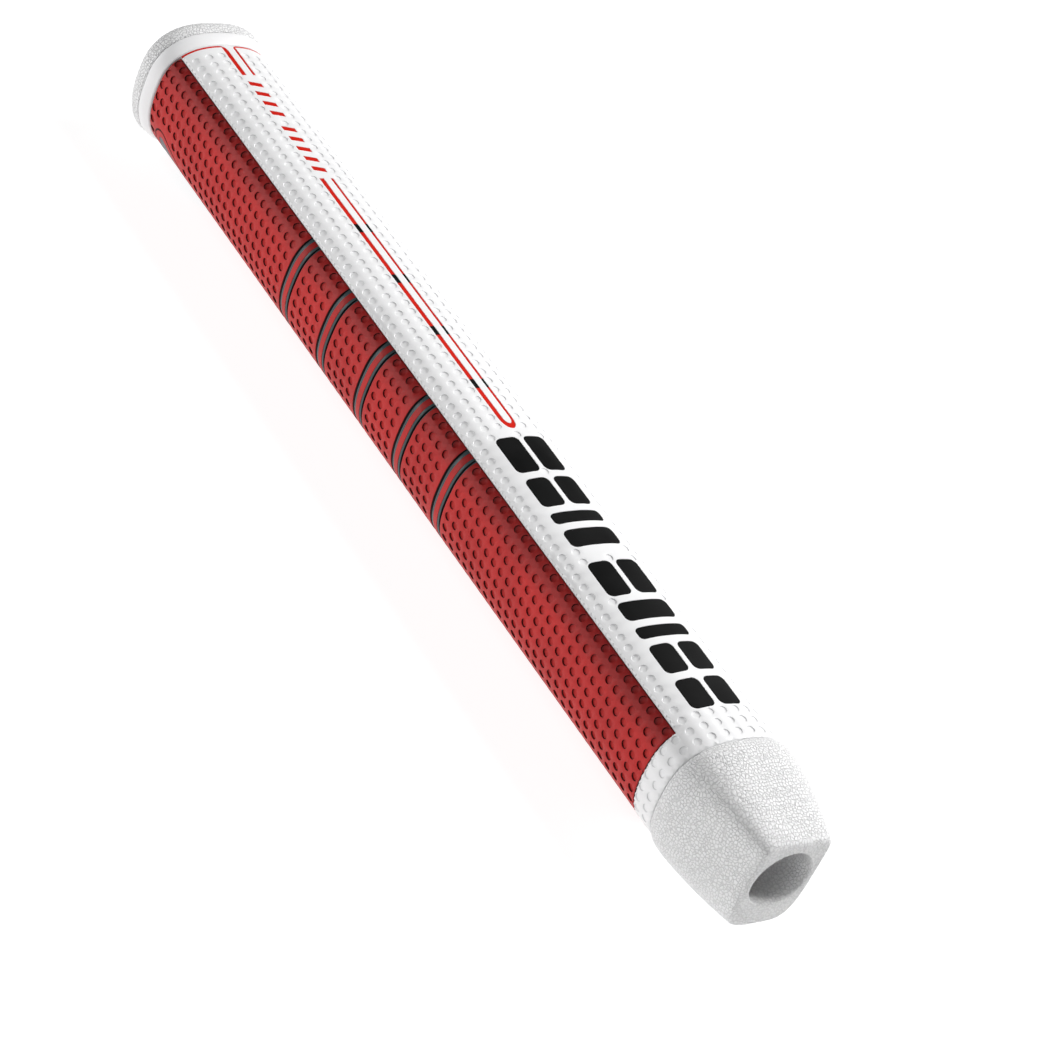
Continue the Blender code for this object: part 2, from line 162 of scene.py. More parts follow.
BADGE_GROOVE = (1.75 * MM, 2.0 * MM, 2.25 * MM)
BADGE_GROOVE_DEPTH = 0.30 * MM

# Butt end and mouth bell.
COLLAR_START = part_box("butt_collar")[0].x
COLLAR_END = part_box("butt_collar")[1].x
CAP_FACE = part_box("end_cap")[0].x
CAP_JOINT = COLLAR_START - SEAM
PLUG_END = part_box("end_cap")[1].x
PLUG_CLEARANCE = 0.3 * MM
PLUG_RADIUS = BORE_RADIUS - PLUG_CLEARANCE
VENT_RADIUS = 1.2 * MM
VENT_LIP = 0.2 * MM
BUTT_FLARE = 1.1 * MM
CAP_SWELL = 0.35 * MM
CAP_EDGE = 2.6 * MM
CAP_EDGE_ROWS = 18
COLLAR_ROLL = 0.25 * MM
BELL_LENGTH = -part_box("mouth_bell")[0].x
BELL_SWELL = 0.9 * MM
SWELL_RISE = 0.05
BORE_LIP = 0.25 * MM
MOUTH_EDGE = 1.0 * MM
MOUTH_EDGE_ROWS = 8
MOUTH_FRONT = 10.5 * MM
MOUTH_BACK = 13.1 * MM
MOUTH_HALF_WIDTH = 9.2 * MM
MOUTH_LEVEL = 3.0 * MM
MOUTH_POWER_FRONT = 6.0
MOUTH_POWER_BACK = 4.0
FRONT_TAPER = 1.25
BACK_TAPER = 2.0
PEBBLE = 0.72 * MM
PEBBLE_HEIGHT = 0.06 * MM
PEBBLE_STRETCH = 0.8
PEBBLE_SLOPE = 0.45
PEBBLE_POWER = 0.6
PEBBLE_MIDDLE = 0.6
BELL_SIDES = 560
BELL_ROW = 0.17 * MM
CAP_SIDES = 480
CAP_ROW = 0.19 * MM
COLLAR_SIDES = 160
COLLAR_ROWS = 24

# Walls are the faces that lean this far from the body's surface; their colour takes a painted shade.
WALL_FACING = 0.80
WALL_FADE = 0.16

# Painted shade: the wrap's colour darkens by this share at its seam, over this angle around the body.
SEAM_SHADE = 0.45
SEAM_SPAN = math.radians(17)

# Mesh fineness of the skins.
TABLE_STEPS = 3600
OUTLINE_STEP = 1.0 * MM
ARC_STEPS = 6
ROLL_SHARES = (0.08, 0.25, 0.5, 0.75, 1.0)

# Materials: a cloud noise blends two tones between these values, a finer one varies the gloss.
CLOUD_SCALE = 60.0
CLOUD_STOPS = (0.35, 0.65)
GLOSS_STOPS = (0.3, 0.7)
GLOSS_SPREAD = 0.08
SPECKLES_PER_GRAIN = 1.2
# Painted shade on walls drifts between the wall tone and this many times it.
POCKET_SHADE_SPREAD = 1.2

# Pebbled rubber: creases between the cells of a fine grain, as painted shade in the colour and as dips in the
# bump.
CELL_SIZE = 0.78 * MM
CELL_HEIGHT = 0.15 * MM
CELL_RANDOMNESS = 0.75
CREASE_WIDTH = 0.15
CREASE_SHADE = 0.84

# Camera.
VIEW_AZIMUTH = math.radians(42.35)
VIEW_ELEVATION = math.radians(33.89)
VIEW_ROLL = math.radians(26.8)
VIEW_DISTANCE = 0.7960
VIEW_AIM = (-0.1140, 0.0107, -0.0088)
LENS = 124.67
SENSOR = 36.0

# Studio.
STUDIO_RADIUS = 4.0
STUDIO_HEIGHT = 2.5
STUDIO_SIDES = 64
FLOOR_TONE = 0.30
FLOOR_GLOW = 0.90
WALL_GLOW = 0.93
WORLD_GLOW = 0.03

# Softboxes: name, direction from the grip, distance, width, height and power in watts.
SOFTBOXES = (
    ("left_box", (-0.62, -0.76, 0.06), 0.9, 0.5, 0.45, 3.4),
    ("front_box", (0.10, -0.60, 0.79), 1.1, 0.6, 0.6, 2.6),
    ("right_box", (0.15, 0.67, 0.74), 1.0, 0.45, 0.45, 13.0),
)


# ---------------------------------------------------------------- the section

def blend(start, end, share):
    return start + (end - start) * share


def section(angle, half_width, rise, drop, level, power_front, power_back, offset=0.0):
    """Points of a rounded section at angles from the front, moved out along its normals."""
    side, up = np.sin(angle), np.cos(angle)
    height = np.where(up >= 0, rise, drop)
    power = np.where(up >= 0, power_front, power_back)
    radius = (np.abs(side / half_width) ** power + np.abs(up / height) ** power) ** (-1.0 / power)
    y, z = radius * side, radius * up
    normal_y = np.copysign(np.abs(y / half_width) ** (power - 1) / half_width, y)
    normal_z = np.copysign(np.abs(z / height) ** (power - 1) / height, z)
    length = np.hypot(normal_y, normal_z)
    return y + offset * normal_y / length, level + z + offset * normal_z / length


def body_section(angle, offset=0.0):
    return section(
        angle, HALF_WIDTH, FRONT_RISE, BACK_DROP, WIDEST_LEVEL, SECTION_POWER, SECTION_POWER, offset
    )


def arc_table():
    """Angles around the section and the arc from the front's centre line to each of them."""
    angles = np.linspace(-math.pi, math.pi, 2 * TABLE_STEPS + 1)
    y, z = body_section(angles)
    arcs = np.concatenate(([0.0], np.cumsum(np.hypot(np.diff(y), np.diff(z)))))
    return angles, arcs - arcs[TABLE_STEPS]


ANGLES, ARCS = arc_table()
HALF_ROUND = float(ARCS[-1])
PANEL_EDGE = float(np.interp(PANEL_ANGLE, ANGLES, ARCS))
WRAP_EDGE = PANEL_EDGE + EDGE_GAP
WRAP_FAR = 2 * HALF_ROUND - WRAP_EDGE
WINDOW_END = WRAP_LENGTH + EDGE_GAP
BADGE_EDGE = float(np.interp(BADGE_ANGLE, ANGLES, ARCS))
BADGE_FAR_EDGE = float(np.interp(BADGE_FAR_ANGLE, ANGLES, ARCS))


def on_body(points):
    """Positions of (along, around, height) points."""
    along, around, height = np.array(points).T
    around = (around + HALF_ROUND) % (2 * HALF_ROUND) - HALF_ROUND
    y, z = body_section(np.interp(around, ARCS, ANGLES), height)
    return np.column_stack((SKIN_START + along, y, z))


# ---------------------------------------------------------------- meshes

class Shape:
    """Welded points and faces of one piece, drawn flat as (along, around, height)."""

    def __init__(self):
        self.points = []
        self.faces = []
        self.index = {}

    def point(self, along, around, height):
        key = (round(along, 7), round(around, 7), round(height, 7))
        if key not in self.index:
            self.index[key] = len(self.points)
            self.points.append((along, around, height))
        return self.index[key]

    def face(self, corners):
        corners = [c for i, c in enumerate(corners) if c != corners[i - 1]]
        if len(corners) > 2:
            self.faces.append(tuple(corners))

    def join(self, first, second, closed=True):
        count = len(first)
        for i in range(count if closed else count - 1):
            after = (i + 1) % count
            self.face((first[i], first[after], second[after], second[i]))


def triangulate(spots, edges, faces):
    """Triangles between flat points, as indices of the points, and the input faces that hold each."""
    flat = [Vector((along / MM, around / MM)) for along, around in spots]
    _, _, triangles, sources, _, owners = geometry.delaunay_2d_cdt(flat, edges, faces, 1, 1e-6, True)
    origin = [source[0] if source else None for source in sources]
    for triangle, owner in zip(triangles, owners):
        corners = [origin[i] for i in triangle]
        if None not in corners:
            yield corners, owner


def lattice(along, around):
    """Points of a grid, as (along, around)."""
    return [(float(a), float(b)) for a in along for b in around]


def inner_grid(loop):
    """Grid over an outline's extent, fine around the shaft, where the surface is curved."""
    low, high = np.array(loop).min(axis=0) + 0.6 * OUTLINE_STEP, np.array(loop).max(axis=0)
    return lattice(np.arange(low[0], high[0], 3 * OUTLINE_STEP), np.arange(low[1], high[1], OUTLINE_STEP))


def fill(shape, outline, holes, grid, level):
    """Surface inside an outline and outside its holes, at the height that level(along, around) gives."""
    spots = []
    faces = []
    for loop in (outline, *holes):
        faces.append(list(range(len(spots), len(spots) + len(loop))))
        spots += loop
    spots += grid
    heights = level(*np.array(spots).T)
    for corners, owner in triangulate(spots, [], faces):
        if list(owner) == [0]:
            shape.face([shape.point(*spots[i], float(heights[i])) for i in corners])


def close(shape, depth, welded=False):
    """Walls down from the open edge to the depth, and the bottom; a welded skin has no wall at the back."""
    directed = {(face[i - 1], corner) for face in shape.faces for i, corner in enumerate(face)}
    after = {first: second for first, second in directed if (second, first) not in directed}
    rim = [min(after)]
    while after[rim[-1]] != rim[0]:
        rim.append(after[rim[-1]])
    top = [shape.points[corner] for corner in rim]
    low = [shape.point(*spot[:2], -depth) for spot in top]
    for i in range(len(rim)):
        if not welded or min(abs(top[i - 1][1]), abs(top[i][1])) < HALF_ROUND - 1e-6:
            shape.face((rim[i], rim[i - 1], low[i - 1], low[i]))
    spots = [shape.points[c][:2] for i, c in enumerate(low) if c != low[i - 1]]
    rim_count = len(spots)
    spots += inner_grid(spots)
    for corners, owner in triangulate(spots, [], [list(range(rim_count))]):
        if owner:
            shape.face([shape.point(*spots[i], -depth) for i in reversed(corners)])


def make_object(name, vertices, faces, look):
    """One closed, smooth-shaded mesh object with its faces turned outwards."""
    mesh = bpy.data.meshes.new(name)
    mesh.from_pydata([tuple(v) for v in vertices], [], faces)
    work = bmesh.new()
    work.from_mesh(mesh)
    bmesh.ops.remove_doubles(work, verts=work.verts, dist=2e-7)
    loose = [v for v in work.verts if not v.link_faces]
    bmesh.ops.delete(work, geom=loose, context="VERTS")
    bmesh.ops.recalc_face_normals(work, faces=work.faces)
    work.to_mesh(mesh)
    work.free()
    mesh.shade_smooth()
    mesh.set_sharp_from_angle(angle=SHARP_ANGLE)
    mesh.materials.append(look)
    item = bpy.data.objects.new(name, mesh)
    bpy.context.scene.collection.objects.link(item)
    return item


def mark_walls(mesh, shaded):
    """Face attribute of painted shade: 1 on the walls of pockets and grooves; on the wrap it also grows
    towards the panel, as painted shade along the seam.
    """
    normals = np.empty(3 * len(mesh.polygons))
    centres = np.empty(3 * len(mesh.polygons))
    mesh.polygons.foreach_get("normal", normals)
    mesh.polygons.foreach_get("center", centres)
    normals, centres = normals.reshape(-1, 3), centres.reshape(-1, 3)
    side, up = centres[:, 1], centres[:, 2] - WIDEST_LEVEL
    height = np.where(up >= 0, FRONT_RISE, BACK_DROP)
    out_y = np.copysign(np.abs(side / HALF_WIDTH) ** (SECTION_POWER - 1) / HALF_WIDTH, side)
    out_z = np.copysign(np.abs(up / height) ** (SECTION_POWER - 1) / height, up)
    facing = (normals[:, 1] * out_y + normals[:, 2] * out_z) / np.hypot(out_y, out_z)
    wall = np.clip((WALL_FACING - facing) / WALL_FADE, 0.0, 1.0)
    if shaded:
        # Painted shade along the wrap's seam, beside the white panel.
        past = np.abs(np.arctan2(centres[:, 1], centres[:, 2])) - PANEL_ANGLE
        wall = np.maximum(wall, SEAM_SHADE * np.clip(1 - past / SEAM_SPAN, 0.0, 1.0))
    mesh.attributes.new("wall", "FLOAT", "FACE").data.foreach_set("value", wall.astype(np.float32))


def add_piece(name, vertices, faces, look, slot, *nodes):
    item = make_object(name, vertices, faces, look)
    mark_walls(item.data, shaded=slot == "wrap_red")
    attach(item, "root")
    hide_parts(*nodes)
    return item


def dense(outline, grow=0.0):
    """Points anticlockwise along an outline that is grown; their count doesn't depend on the growth."""
    plain, grown = outline(0.0), outline(grow)
    area = sum(a[0] * b[1] - b[0] * a[1] for a, b in zip(plain, plain[1:] + plain[:1]))
    if area < 0:
        plain, grown = plain[::-1], grown[::-1]
    spots = []
    for i, (first, second) in enumerate(zip(plain, plain[1:] + plain[:1])):
        steps = max(1, math.ceil(math.dist(first, second) / OUTLINE_STEP))
        start, end = grown[i], grown[(i + 1) % len(grown)]
        spots += [
            (blend(start[0], end[0], k / steps), blend(start[1], end[1], k / steps))
            for k in range(steps)
        ]
    return spots


def rolled(distance, radius):
    """Height of a rounded edge at a distance from it."""
    short = np.clip(radius - distance, 0.0, radius)
    return np.sqrt(radius**2 - short**2) - radius


# ---------------------------------------------------------------- outlines of the paint

def box_outline(start, end, low, high):
    def outline(grow):
        return [
            (start - grow, low - grow), (end + grow, low - grow),
            (end + grow, high + grow), (start - grow, high + grow),
        ]
    return outline


def rounded_outline(corners, radius):
    """Convex outline through corners given anticlockwise, each of them rounded."""
    turns = []
    for i, place in enumerate(corners):
        here, before, after = (Vector(c) for c in (place, corners[i - 1], corners[(i + 1) % len(corners)]))
        into, out = (here - before).normalized(), (after - here).normalized()
        first, second = Vector((into.y, -into.x)), Vector((out.y, -out.x))
        centre = here - (first + second) * radius / (1 + first.dot(second))
        start = math.atan2(first.y, first.x)
        sweep = (math.atan2(second.y, second.x) - start) % (2 * math.pi)
        turns.append((centre, start, sweep))

    def outline(grow):
        return [
            (centre.x + (radius + grow) * math.cos(start + sweep * k / ARC_STEPS),
             centre.y + (radius + grow) * math.sin(start + sweep * k / ARC_STEPS))
            for centre, start, sweep in turns
            for k in range(ARC_STEPS + 1)
        ]
    return outline


def rounded_box(start, end, low, high, radius):
    return rounded_outline([(start, low), (end, low), (end, high), (start, high)], radius)


def sight_line_outline(grow):
    """Both sight lines and the half-round turn that joins them."""
    start = LINES_START - grow

    def half_round(low, high, length):
        middle, half = (low + high) / 2, (high - low) / 2
        steps = 2 * ARC_STEPS
        turns = [math.pi * k / steps for k in range(steps + 1)]
        return [(LINES_END + length * math.sin(turn), middle - half * math.cos(turn)) for turn in turns]

    outer = half_round(WIDE_LINE[0] - grow, NARROW_LINE[1] + grow, U_LENGTH + grow)
    inner = half_round(WIDE_LINE[1] + grow, NARROW_LINE[0] - grow, U_LENGTH / 2 - grow)
    left = [(start, WIDE_LINE[1] + grow), (start, WIDE_LINE[0] - grow)]
    right = [(start, NARROW_LINE[1] + grow), (start, NARROW_LINE[0] - grow)]
    return left + outer + right + inner[::-1]


def frame_outline(line, side):
    """Bar beside the centre line with a strip along the collar, out to the shoulder on one side."""
    def outline(grow):
        low, high = line[0] - grow, line[1] + grow
        top, under = FRAME_MARGIN - grow, FRAME_STRIP + grow
        end = FRAME_END + grow
        reach = side * (PANEL_EDGE - FRAME_MARGIN + grow)
        turn = (WIDE_CORNER if side < 0 else NARROW_CORNER) + grow
        angles = [math.pi / 2 * k / ARC_STEPS for k in range(ARC_STEPS + 1)]
        if side < 0:
            corner = [(top + turn - turn * math.sin(a), high - turn + turn * math.cos(a)) for a in angles]
            return [(top, reach), (under, reach), (under, low), (end, low), (end, high)] + corner
        corner = [(top + turn - turn * math.cos(a), low + turn - turn * math.sin(a)) for a in angles]
        return [(top, reach)] + corner + [(end, low), (end, high), (under, high), (under, reach)]
    return outline


def tick_outlines():
    found = []
    for group, count in zip(TICK_STARTS, TICK_COUNTS):
        for index in range(count):
            start = group + TICK_PITCH * index

            def outline(grow, start=start):
                half = TICK_HALF_HEIGHT + grow
                end = start + TICK_WIDTH + grow
                return [
                    (start - grow, -half), (end, -half),
                    (end + TICK_LEAN, half), (start - grow + TICK_LEAN, half),
                ]
            found.append(outline)
    return found


def block_outlines(blocks):
    position, lengths = blocks
    half, slit = BLOCK_HALF_HEIGHT, BLOCK_SLIT / 2
    found = []
    for length in lengths:
        end = position + length
        corner = min(BLOCK_CORNER, length / 3)
        if length > SPLIT_FROM:
            found.append(rounded_box(position, end, slit, half, corner))
            found.append(rounded_box(position, end, -half, -slit, corner))
        else:
            found.append(rounded_box(position, end, -half, half, corner))
        position = end + BLOCK_GAP
    return found


FRONT_MARKS = {
    "sight_line": sight_line_outline,
    "frame_line_wide": frame_outline(WIDE_LINE, -1),
    "frame_line_narrow": frame_outline(NARROW_LINE, 1),
}
FRONT_MARKS.update({f"front_tick_{i + 1}": o for i, o in enumerate(tick_outlines())})
FRONT_MARKS.update({
    f"front_block_{i + 1}": o
    for i, o in enumerate(block_outlines(UPPER_BLOCKS) + block_outlines(LOWER_BLOCKS))
})
BADGE_END = BADGE_START + BADGE_LENGTH
BADGE = rounded_outline(
    [(BADGE_START, BADGE_EDGE), (BADGE_END, BADGE_FAR_EDGE),
     (BADGE_END, 2 * HALF_ROUND - BADGE_FAR_EDGE), (BADGE_START, 2 * HALF_ROUND - BADGE_EDGE)],
    BADGE_CORNER,
)


# ---------------------------------------------------------------- dimples

def columns():
    return np.interp(np.arange(COLUMN_COUNT), COLUMN_KNOTS, COLUMN_PLACES)


def is_clear(along, around, outlines):
    """True where a dimple's centre is well away from every outline, and outside it."""
    for loop in outlines:
        start = np.array(loop) - (along, around)
        side = np.roll(start, -1, axis=0) - start
        share = np.clip(-(start * side).sum(axis=1) / (side**2).sum(axis=1), 0.0, 1.0)
        if np.hypot(*(start + side * share[:, None]).T).min() < CLEARANCE:
            return False
        crosses = (start[:, 1] > 0) != (start[:, 1] + side[:, 1] > 0)
        first, step = start[crosses], side[crosses]
        if (first[:, 0] - first[:, 1] / step[:, 1] * step[:, 0] > 0).sum() % 2:
            return False
    return True


def dimple_ring(centre, radius):
    return [
        (centre[0] + radius * math.cos(2 * math.pi * k / DIMPLE_SIDES),
         centre[1] + radius * math.sin(2 * math.pi * k / DIMPLE_SIDES))
        for k in range(DIMPLE_SIDES)
    ]


def sink_dimple(shape, centre, level, profile):
    """Walls and floor of one pocket; the profile's last ring has no radius and gives the floor's middle."""
    rings = []
    for radius, depth in profile:
        spots = dimple_ring(centre, radius * MM)
        heights = level(*np.array(spots).T) - depth * MM
        rings.append([shape.point(*spot, float(height)) for spot, height in zip(spots, heights)])
    for first, second in zip(rings, rings[1:]):
        shape.join(first, second)


def sink_recess(shape, outline, level):
    """Walls and floor of a flat recess for paint."""
    rim = dense(outline, RECESS_GROW)
    wall = dense(outline, RECESS_GROW / 2)
    heights = level(*np.array(rim).T)
    top = [shape.point(*spot, float(height)) for spot, height in zip(rim, heights)]
    lip = [shape.point(*spot, float(height) - RECESS_GROW) for spot, height in zip(wall, heights)]
    low = [shape.point(*spot, -RECESS_DEPTH) for spot in wall]
    shape.join(top, lip)
    shape.join(lip, low)
    fill(shape, wall, [], inner_grid(wall), lambda along, around: np.full(len(along), -RECESS_DEPTH))


# ---------------------------------------------------------------- skins

def panel_level(along, around):
    """Height of the white skin: its edges are rolled down, and a fine groove sets off a bead by the wrap."""
    beyond = np.maximum(along - WINDOW_END, 0.0)
    inside = np.maximum(PANEL_EDGE - np.abs(around), 0.0)
    window = np.hypot(beyond, inside)
    ends = np.maximum(np.minimum(along, SKIN_LENGTH - along), 0.0)
    groove = BEAD_DEPTH * np.clip(1 - np.abs(window - BEAD_WIDTH) / BEAD_GROOVE, 0.0, 1.0)
    return np.minimum(rolled(window, PANEL_ROLL) - groove, rolled(ends, END_ROLL))


def panel_outline(_grow):
    """The white skin laid flat; it is never grown."""
    return [
        (0.0, -PANEL_EDGE), (WINDOW_END, -PANEL_EDGE), (WINDOW_END, -HALF_ROUND),
        (SKIN_LENGTH, -HALF_ROUND), (SKIN_LENGTH, HALF_ROUND), (WINDOW_END, HALF_ROUND),
        (WINDOW_END, PANEL_EDGE), (0.0, PANEL_EDGE),
    ]


def white_dimples(outlines):
    pitch = 2 * HALF_ROUND / WHITE_ROWS
    found = []
    for along in columns():
        for row in range(-(WHITE_ROWS // 2), WHITE_ROWS // 2 + 1):
            around = row * pitch
            on_panel = abs(around) < PANEL_EDGE - CLEARANCE
            on_band = along > WINDOW_END + CLEARANCE / 2
            in_block = LINES_START < along < LINES_END or along < TICK_STARTS[0]
            if not (on_panel or on_band) or (row == 0 and in_block):
                continue
            if is_clear(along, around, outlines):
                found.append((float(along), float(around)))
    return found


def make_front_shell(look):
    shape = Shape()
    marks = {name: dense(outline, RECESS_GROW) for name, outline in FRONT_MARKS.items()}
    dimples = white_dimples(list(marks.values()))
    holes = list(marks.values()) + [dimple_ring(spot, WHITE_DIMPLE[0][0] * MM) for spot in dimples]
    pitch = 2 * HALF_ROUND / WHITE_ROWS
    rows = [pitch * (row + 0.5) for row in range(-3, 3)]
    between = (columns()[1:] + columns()[:-1]) / 2
    grid = lattice(between[between < WINDOW_END], rows)
    rolls = [PANEL_ROLL * share for share in ROLL_SHARES]
    beads = rolls + [BEAD_WIDTH + BEAD_GROOVE * side for side in (-1, 0, 1)]
    edge_rows = [side * (PANEL_EDGE - bead) for bead in beads for side in (-1, 1)]
    steps = np.arange(OUTLINE_STEP, WINDOW_END, 1.5 * OUTLINE_STEP)
    grid += lattice(steps, edge_rows)
    band_rows = np.arange(-HALF_ROUND + pitch / 2, HALF_ROUND, pitch / 2)
    ends = [END_ROLL * share for share in ROLL_SHARES]
    grid += lattice([SKIN_LENGTH - roll for roll in ends], band_rows)
    grid += lattice(ends, np.arange(-PANEL_EDGE + PANEL_ROLL, PANEL_EDGE - PANEL_ROLL, OUTLINE_STEP))
    band_only = band_rows[np.abs(band_rows) > PANEL_EDGE]
    grid += lattice([WINDOW_END + bead for bead in beads], band_only)
    fill(shape, dense(panel_outline), holes, grid, panel_level)
    for spot in dimples:
        sink_dimple(shape, spot, panel_level, WHITE_DIMPLE)
    for outline in FRONT_MARKS.values():
        sink_recess(shape, outline, panel_level)
    close(shape, SKIN, welded=True)
    add_piece("front_skin", on_body(shape.points), shape.faces, look, "front_white", "front_shell")


def wrap_level(along, around):
    """Height of the red skin: below the white one, dipping towards it, with its edges rolled down."""
    side = np.minimum(around - WRAP_EDGE, WRAP_FAR - around)
    edge = np.minimum(np.minimum(along, WRAP_LENGTH - along), side)
    dip = WRAP_DIP * (1 - np.clip(side / WRAP_DIP_WIDTH, 0.0, 1.0)) ** 2
    return rolled(np.maximum(edge, 0.0), WRAP_ROLL) - WRAP_SINK - dip


def wrap_lines():
    """Arcs of the lines that every ring band and zone end share."""
    rolls = [WRAP_ROLL * share for share in (0.0, *ROLL_SHARES)]
    steps = round((WRAP_FAR - WRAP_EDGE) / OUTLINE_STEP)
    middle = np.linspace(WRAP_EDGE + OUTLINE_STEP, WRAP_FAR - OUTLINE_STEP, steps)
    return [WRAP_EDGE + r for r in rolls] + [float(a) for a in middle] + [WRAP_FAR - r for r in rolls[::-1]]


def ring_start(index, line):
    return FIRST_BAND + BAND_PITCH * index + RING_SPACING * line


def band_zone(index):
    """Start and end of the ring band's smooth strip."""
    start = ring_start(index, 0)
    return start - BAND_MARGIN, start + RING_SPACING + RING_WIDTH + BAND_MARGIN


def band_profile(index):
    """(along, depth) across one ring band, from zone to zone."""
    start, end = band_zone(index)
    profile = [(start, 0.0)]
    for line in range(2):
        low = ring_start(index, line)
        high = low + RING_WIDTH
        near, far = low - GROOVE_LIP / 2, high + GROOVE_LIP / 2
        profile += [
            (low - 2 * GROOVE_LIP, 0.0), (near, GROOVE_LIP), (near, GROOVE_DEPTH),
            (far, GROOVE_DEPTH), (far, GROOVE_LIP), (high + 2 * GROOVE_LIP, 0.0),
        ]
    return profile + [(end, 0.0)]


def red_rows():
    return np.linspace(FIRST_RED_ROW, 2 * HALF_ROUND - FIRST_RED_ROW, RED_ROWS)


def red_dimples(badge):
    zones = [band_zone(index) for index in range(BAND_COUNT)]
    arcs = red_rows()
    found = []
    for along in columns():
        in_band = any(start - BAND_CLEARANCE < along < end + BAND_CLEARANCE for start, end in zones)
        if in_band or along > WRAP_LENGTH - CLEARANCE:
            continue
        found += [(float(along), float(arc)) for arc in arcs if is_clear(along, arc, [badge])]
    return found


def sink_badge(shape):
    """Engraved line around the badge, the smooth margin inside it and the recess for the paint."""
    loops = []
    for grow, depth in zip(BADGE_GROOVE[::-1], (0.0, BADGE_GROOVE_DEPTH, 0.0)):
        spots = dense(BADGE, grow)
        heights = wrap_level(*np.array(spots).T) - depth
        loops.append([shape.point(*spot, float(height)) for spot, height in zip(spots, heights)])
    for first, second in zip(loops, loops[1:]):
        shape.join(first, second)
    middle = dense(BADGE, BADGE_GROOVE[0] / 2)
    fill(shape, dense(BADGE, BADGE_GROOVE[0]), [dense(BADGE, RECESS_GROW)], middle, wrap_level)
    sink_recess(shape, BADGE, wrap_level)


def make_side_wrap(look):
    shape = Shape()
    lines = wrap_lines()
    badge = dense(BADGE, BADGE_GROOVE[2])
    dimples = red_dimples(badge)
    edges = [0.0] + [edge for index in range(BAND_COUNT) for edge in band_zone(index)] + [WRAP_LENGTH]
    places = columns()
    between = (places[1:] + places[:-1]) / 2
    half_arcs = (red_rows()[1:] + red_rows()[:-1]) / 2
    rolls = [WRAP_ROLL * share for share in ROLL_SHARES]
    inner_lines = lines[len(rolls) + 2:-len(rolls) - 2]
    for start, end in zip(edges[::2], edges[1::2]):
        side = np.linspace(start, end, max(2, round((end - start) / OUTLINE_STEP)) + 1)
        outline = [(float(a), lines[0]) for a in side[:-1]]
        outline += [(end, arc) for arc in lines[:-1]]
        outline += [(float(a), lines[-1]) for a in side[:0:-1]]
        outline += [(start, arc) for arc in lines[:0:-1]]
        here = [spot for spot in dimples if start < spot[0] < end]
        holes = [dimple_ring(spot, RED_DIMPLE[0][0] * MM) for spot in here]
        if start < BADGE_START < end:
            holes.append(badge)
        inner = [a for a in between if start + OUTLINE_STEP < a < end - OUTLINE_STEP]
        grid = lattice(inner, half_arcs)
        slopes = rolls + [WRAP_ROLL + (WRAP_DIP_WIDTH - WRAP_ROLL) * share for share in (0.2, 0.4)]
        grid += lattice(side[1:-1], [arc for r in slopes for arc in (WRAP_EDGE + r, WRAP_FAR - r)])
        if start == 0.0:
            grid += lattice(rolls, inner_lines)
        if end == WRAP_LENGTH:
            grid += lattice([end - r for r in rolls], inner_lines)
        grid = [spot for spot in grid if is_clear(*spot, [badge]) or not start < BADGE_START < end]
        fill(shape, outline, holes, grid, wrap_level)
        for spot in here:
            sink_dimple(shape, spot, wrap_level, RED_DIMPLE)
    for index in range(BAND_COUNT):
        rows = []
        for along, depth in band_profile(index):
            heights = wrap_level(np.full(len(lines), along), np.array(lines))
            low = -WRAP_SINK - depth
            rows.append([shape.point(along, arc, min(float(h), low)) for arc, h in zip(lines, heights)])
        for first, second in zip(rows, rows[1:]):
            shape.join(second, first, closed=False)
    sink_badge(shape)
    close(shape, SKIN)
    add_piece("wrap_skin", on_body(shape.points), shape.faces, look, "wrap_red", "side_wrap")


def make_ring_fill(start, line, look, ring):
    """Paint in one ring groove: a deep narrow channel outside and a flat stripe inside."""
    lines = wrap_lines()
    bottom = RING_BOTTOM / MM
    profile = [(RING_PROFILE[0][0], bottom), *RING_PROFILE, (RING_PROFILE[-1][0], bottom)]
    places = [place * MM if line == 0 else RING_WIDTH - place * MM for place, _ in profile]
    levels = [-WRAP_SINK - depth * MM for _, depth in profile]
    shape = Shape()
    loops = []
    for arc in lines:
        top = float(wrap_level(np.array([start]), np.array([arc]))[0])
        heights = [max(min(top, level), -WRAP_SINK - RING_BOTTOM) for level in levels]
        loops.append([shape.point(start + place, arc, h) for place, h in zip(places, heights)])
    for first, second in zip(loops, loops[1:]):
        shape.join(first, second)
    shape.face(loops[0])
    shape.face(loops[-1][::-1])
    points = on_body(shape.points)
    add_piece(f"ring_paint_{ring}", points, shape.faces, look, "ring_dark", f"ring_fill_{ring}")


def make_ring_fills(look):
    for index in range(BAND_COUNT):
        for line in range(2):
            make_ring_fill(ring_start(index, line), line, look, f"{index + 1}{'ab'[line]}")


def make_fill(name, outline, look, slot, node, top, bottom, level=panel_level):
    """One paint fill: a thin solid with softly rolled edges, a little below its skin's level."""
    shape = Shape()
    rim, crown = dense(outline, 0.0), dense(outline, -FILL_ROLL)
    loops = []
    for spots, drop in ((rim, FILL_ROLL), (crown, 0.0)):
        heights = level(*np.array(spots).T)
        loops.append([shape.point(*spot, float(height) - top - drop) for spot, height in zip(spots, heights)])
    shape.join(*loops)
    fill(shape, crown, [], inner_grid(rim), lambda along, around: level(along, around) - top)
    close(shape, bottom)
    add_piece(name, on_body(shape.points), shape.faces, look, slot, node)


